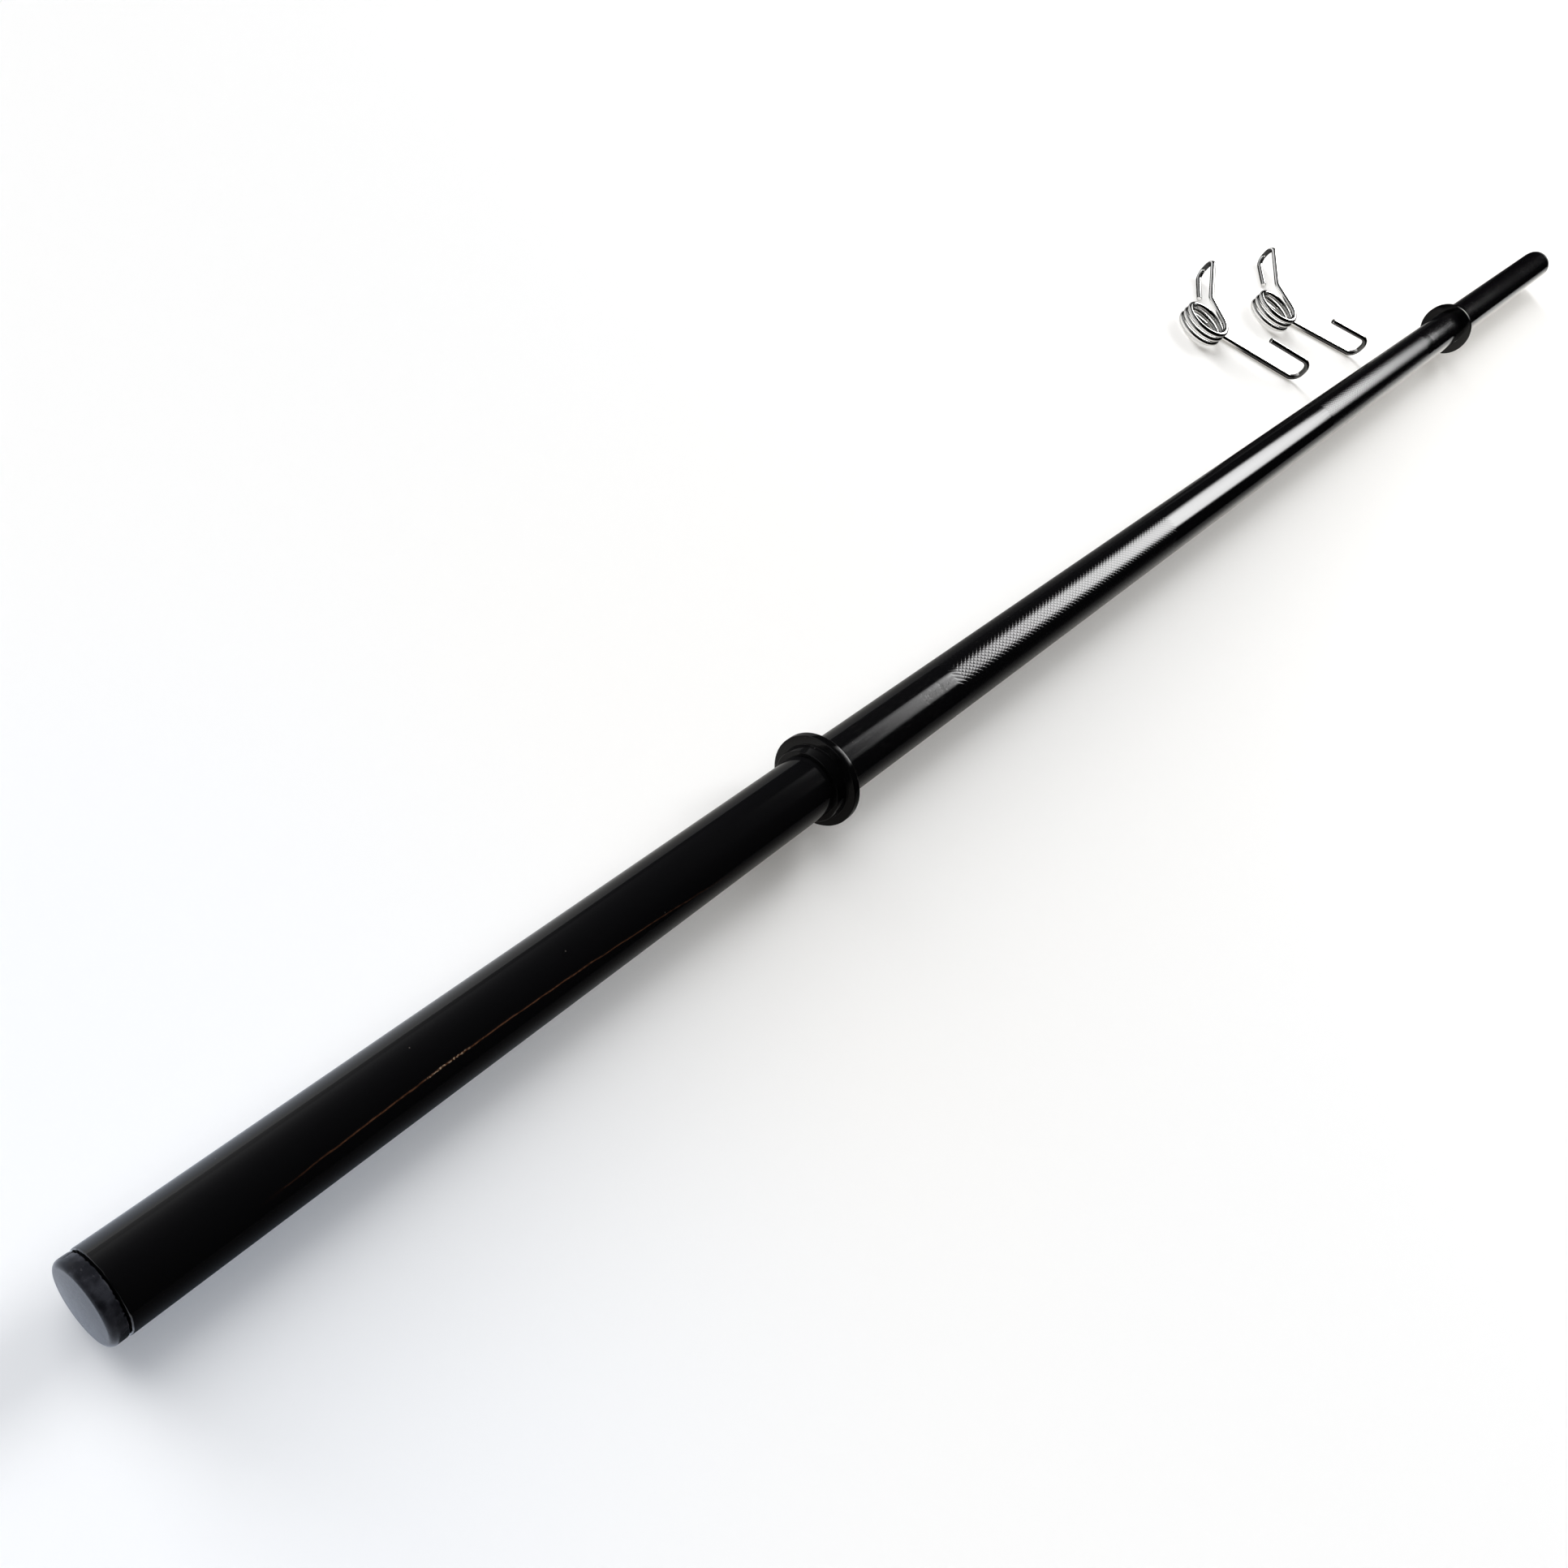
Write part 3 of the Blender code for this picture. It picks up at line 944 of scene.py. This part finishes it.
floor = {
    "reach": 40.0,
    "colour": (0.86, 0.86, 0.86, 1.0),
    # painted light: the glow grows towards the far end, where it lightens the bar's shadow
    "lift": (0.10, 0.31),       # brings the paper to white for the camera, more so at the far end,
    "liftAlong": (-0.5, 0.75),  # growing over this stretch of X
    "reflectedLift": 0.60,      # and in reflections, where the shade beside the bar is shallower
    # painted shade colour: the glow beside the bar is tinted blue at the near end and warm further on, which
    # colours the bar's shadow
    "cool": (0.76, 0.93, 1.24, 1.0),    # its tint at the near end,
    "warm": (1.05, 1.00, 0.91, 1.0),    # and from the near collar on
    "tintAlong": (-0.72, -0.46),
    "tintAcross": (0.08, 0.16),         # only beside the bar
}
darkTrough = {
    # a low dark trough round the tube, seen only in reflections, where it paints the tube's reflections of
    # the paper darker. Each row says by what share it dims the
    # paper, as (mm from the near end, share): on the trough's floor, and at the top of its wall
    "half": 24.0 * mm,
    "wall": 33.0 * mm,
    "lift": 0.4 * mm,
    "ends": (-tubeEnd, tubeEnd + 0.3),
    "rowLength": 1600.0,
    "clipSide": {
        "floor": [(35, 0.48), (110, 0.53), (215, 0.63), (352, 0.75), (440, 0.81), (850, 0.80), (952, 0.50),
                  (1055, 0.63), (1162, 0.72), (1290, 0.83), (1370, 0.90), (1475, 0.97)],
        "top": [(35, 0.34), (110, 0.46), (215, 0.78), (352, 0.86), (440, 0.96), (1055, 0.98), (1370, 1.0)],
        "climb": (2.4 * mm, 22.4 * mm),
    },
    "otherSide": {
        "floor": [(35, 0.92), (110, 0.90), (215, 0.81), (352, 0.79), (440, 0.80), (530, 0.73), (635, 0.63),
                  (742, 0.43), (850, 0.29), (952, 0.25), (1055, 0.06), (1140, 0.0)],
        "top": [(35, 0.98), (742, 0.96), (850, 0.88), (952, 0.82), (1055, 0.68), (1140, 0.60), (1290, 0.50),
                (1370, 0.60), (1475, 0.80)],
        "climb": (7.4 * mm, 30.4 * mm),
    },
}
darkCard = {
    # a soft dark card under the clips, seen only in reflections, where it paints the chrome's reflections of
    # the paper darker
    "middle": (0.185, 0.035),
    "half": (0.130, 0.062),
    "soft": 0.03,
    "share": (0.85, 0.10, 0.95),     # in the coils' bores, round the coils, and under the handles
    "bore": (11 * mm, 13 * mm),
    "coilSpace": (30 * mm, 46 * mm),
}
room = {
    # what reflections see. A height or a side is a direction's way up or aside over its way ahead, and the
    # rows are (height, brightness) from the floor up; the glow's are by the direction's own x, y and z
    "windowSides": (-0.24, 0.34),
    "windowSoft": (0.05, 0.09),     # how soft each edge is, and both are softer high up
    "windowHaze": 0.25,
    "hazeHeights": (0.55, 1.0),
    "windowRows": [(0.31, 0.0), (0.34, 0.11), (0.382, 0.39), (0.43, 0.50), (0.48, 0.63), (0.55, 0.78),
                   (0.646, 0.90), (0.72, 0.86), (0.80, 0.32), (0.86, 0.24), (0.92, 0.05), (1.0, 0.0)],
    "windowAhead": (0.0, 0.05),
    "windowLevel": 14.4,
    "glowRows": [(0.0, 1.0), (0.276, 0.66), (0.50, 0.32), (0.70, 0.11), (0.90, 0.02), (1.0, 0.01)],
    "glowSide": (-0.05, 0.50),
    "glowAhead": (0.25, 0.70),
    "glowLevel": 0.8,
}
lamps = {
    # each lamp's share of the floor's light, its height above the horizon, its way round from +x, and spread
    "side_lamp": {"level": 0.42, "height": radians(52), "round": radians(95), "spread": radians(45)},
    "low_lamp": {"level": 0.16, "height": radians(16), "round": radians(95), "spread": radians(34)},
    "top_lamp": {"level": 0.14, "height": radians(75), "round": radians(60), "spread": radians(100)},
}


def makeOutput(start, shader, kind):
    output = start.tree.nodes.new(kind)
    start.tree.links.new(shader.socket, output.inputs["Surface"])


def stageSurface(name, points, faces):
    mesh = bpy.data.meshes.new(name)
    mesh.from_pydata(points, [], faces)
    surface = bpy.data.objects.new(name, mesh)
    bpy.context.scene.collection.objects.link(surface)
    material = bpy.data.materials.new(name)
    material.use_nodes = True
    material.node_tree.nodes.clear()
    mesh.materials.append(material)
    return surface, Value(material.node_tree)


def makeFloor():
    reach = floor["reach"]
    square = [(-reach, -reach, 0), (reach, -reach, 0), (reach, reach, 0), (-reach, reach, 0)]
    start = stageSurface("studio_paper", square, [(0, 1, 2, 3)])[1]
    rays = start.node("ShaderNodeLightPath", output="Is Camera Ray")
    reflected = rays.math("MAXIMUM", rays.other("Is Glossy Ray"), rays.other("Is Transmission Ray"))
    x = start.node("ShaderNodeSeparateXYZ", {}, {0: objectPlace(start)})
    near, far = floor["lift"]
    # painted light: a stronger glow towards the far end lightens the bar's shadow there
    lift = near + x.rise(*floor["liftAlong"]) * (far - near)
    strength = rays * lift + reflected * floor["reflectedLift"]
    matt = start.node("ShaderNodeBsdfDiffuse", {}, {"Color": floor["colour"]})
    # painted shade colour: beside the bar the glow takes a blue tint at the near end and a warm one further
    # on, which colours the bar's shadow
    beside = (x.other("Y") - barY).band(0.0, *floor["tintAcross"])
    tint = x.rise(*floor["tintAlong"]).mix(floor["cool"], floor["warm"])
    tint = beside.mix(white, tint)
    glow = start.node("ShaderNodeEmission", {}, {"Strength": strength, "Color": tint})
    both = start.node("ShaderNodeAddShader", {}, {0: matt, 1: glow})
    makeOutput(start, both, "ShaderNodeOutputMaterial")


def darkSurface(name, points, faces):
    # a stage surface that only reflections see, with its place as numbers
    surface, start = stageSurface(name, points, faces)
    surface.visible_camera = False
    surface.visible_diffuse = False
    surface.visible_shadow = False
    return start, start.node("ShaderNodeSeparateXYZ", {}, {0: objectPlace(start)})


def dimBy(start, share):
    # clear where share is 0, and black where it is 1
    clear = start.node("ShaderNodeBsdfTransparent")
    dark = start.node("ShaderNodeBsdfDiffuse", {}, {"Color": black})
    shade = start.node("ShaderNodeMixShader", {}, {0: share, 1: clear, 2: dark})
    makeOutput(start, shade, "ShaderNodeOutputMaterial")


def makeDarkTrough():
    half = darkTrough["half"]
    base = darkTrough["lift"]
    top = base + darkTrough["wall"]
    section = [(-half, top), (-half, base), (half, base), (half, top)]
    points = [(x, barY + y, z) for x in darkTrough["ends"] for y, z in section]
    start, x = darkSurface("studio_dark_trough", points, [(0, 1, 5, 4), (1, 2, 6, 5), (2, 3, 7, 6)])
    along = (x + tubeEnd) / (darkTrough["rowLength"] * mm)
    sides = []
    for side in ("clipSide", "otherSide"):
        size = darkTrough[side]
        onFloor, atTop = (
            along.ramp([(place / darkTrough["rowLength"], share) for place, share in size[row]])
            for row in ("floor", "top"))
        sides.append(onFloor + (atTop - onFloor) * x.other("Z").rise(*size["climb"]))
    onClipSide = (x.other("Y") - barY).rise(-1 * mm, 1 * mm)
    # painted reflection: the trough darkens the paper that the tube reflects, by these shares
    dimBy(start, onClipSide * sides[0] + (1 - onClipSide) * sides[1])


def makeDarkCard():
    (middleX, halfX), (middleY, halfY) = zip(darkCard["middle"], darkCard["half"])
    soft = darkCard["soft"]
    corners = [(-1, -1), (1, -1), (1, 1), (-1, 1)]
    points = [(middleX + right * (halfX + soft), middleY + up * (halfY + soft), darkTrough["lift"])
              for right, up in corners]
    start, x = darkSurface("studio_dark_card", points, [(0, 1, 2, 3)])
    y = x.other("Y")
    onCard = x.band(middleX, halfX, soft) * y.band(middleY, halfY, soft)
    underHandle = 1.0
    inBore = 0.0
    for name in ("clip_a", "clip_b"):
        axis = coilAxis(name)
        away = start.math("SQRT", (x - axis[0]) ** 2.0 + (y - axis[1]) ** 2.0)
        underHandle = away.rise(*darkCard["coilSpace"]) * underHandle
        inBore = (1 - away.rise(*darkCard["bore"])) + inBore
    boreShare, coilShare, handleShare = darkCard["share"]
    share = coilShare + (handleShare - coilShare) * underHandle + (boreShare - coilShare) * inBore
    # painted reflection: the card darkens the paper that the clips reflect, most under the handles and in
    # the bores
    dimBy(start, onCard * share)


def makeWorld():
    world = bpy.data.worlds.new("studio")
    bpy.context.scene.world = world
    world.use_nodes = True
    world.node_tree.nodes.clear()
    start = Value(world.node_tree)
    direction = start.node("ShaderNodeTexCoord", output="Generated")
    x = start.node("ShaderNodeSeparateXYZ", {}, {0: direction})
    y = x.other("Y")
    z = x.other("Z")
    ahead = x.math("MAXIMUM", x, 0.001)
    sideways = y / ahead
    height = z / ahead
    # the window: a tall bright opening beyond the far end of the bar, brighter higher up
    left, right = room["windowSides"]
    haze = height.rise(*room["hazeHeights"]) * room["windowHaze"]
    softLeft, softRight = (haze + soft for soft in room["windowSoft"])
    opening = sideways.rise(left - softLeft, left + softLeft)
    opening = opening * (1 - sideways.rise(right - softRight, right + softRight))
    window = height.ramp(room["windowRows"]) * opening * x.rise(*room["windowAhead"])
    # a pale glow above the horizon on the side of the clips
    glow = z.ramp(room["glowRows"]) * y.rise(*room["glowSide"]) * (1 - x.rise(*room["glowAhead"]))
    rays = start.node("ShaderNodeLightPath", output="Is Camera Ray")
    strength = rays + (1 - rays) * (window * room["windowLevel"] + glow * room["glowLevel"])
    background = start.node("ShaderNodeBackground", {}, {"Color": white, "Strength": strength})
    makeOutput(start, background, "ShaderNodeOutputWorld")


def makeLamps():
    # far lamps, whose light is even over the floor and leaves the reflections to the room
    for name, size in lamps.items():
        data = bpy.data.lights.new(name, "SUN")
        data.energy = pi * size["level"] / sin(size["height"])
        data.angle = size["spread"]
        lamp = bpy.data.objects.new(name, data)
        bpy.context.scene.collection.objects.link(lamp)
        way = Vector((cos(size["height"]) * cos(size["round"]), cos(size["height"]) * sin(size["round"]),
                      sin(size["height"])))
        lamp.rotation_euler = way.to_track_quat("Z", "Y").to_euler()
        lamp.visible_glossy = False


photoView = {
    "place": (-0.8164, -0.0968, 0.4069),
    "target": (-0.4301, -0.0499, 0.0),
    "roll": radians(45.42),
    "lens": 32.78,              # for a sensor of this width, in millimetres
    "sensor": 36.0,
    "reach": (0.01, 200.0),     # nearest and farthest things seen
}


def makeCamera():
    place = Vector(photoView["place"])
    ahead = (Vector(photoView["target"]) - place).normalized()
    level = ahead.cross(Vector(upward)).normalized()
    upright = level.cross(ahead)
    turn = photoView["roll"]
    right = cos(turn) * level + sin(turn) * upright
    up = cos(turn) * upright - sin(turn) * level
    data = bpy.data.cameras.new("photo_camera")
    data.sensor_width = photoView["sensor"]
    data.lens = photoView["lens"]
    data.clip_start, data.clip_end = photoView["reach"]
    camera = bpy.data.objects.new("photo_camera", data)
    bpy.context.scene.collection.objects.link(camera)
    axes = Matrix((right, up, -ahead)).transposed()
    camera.matrix_world = Matrix.Translation(place) @ axes.to_4x4()
    bpy.context.scene.camera = camera


makeFloor()
makeDarkTrough()
makeDarkCard()
makeWorld()
makeLamps()
makeCamera()
bpy.context.scene.view_settings.view_transform = "Standard"
print("floor, light and camera made")
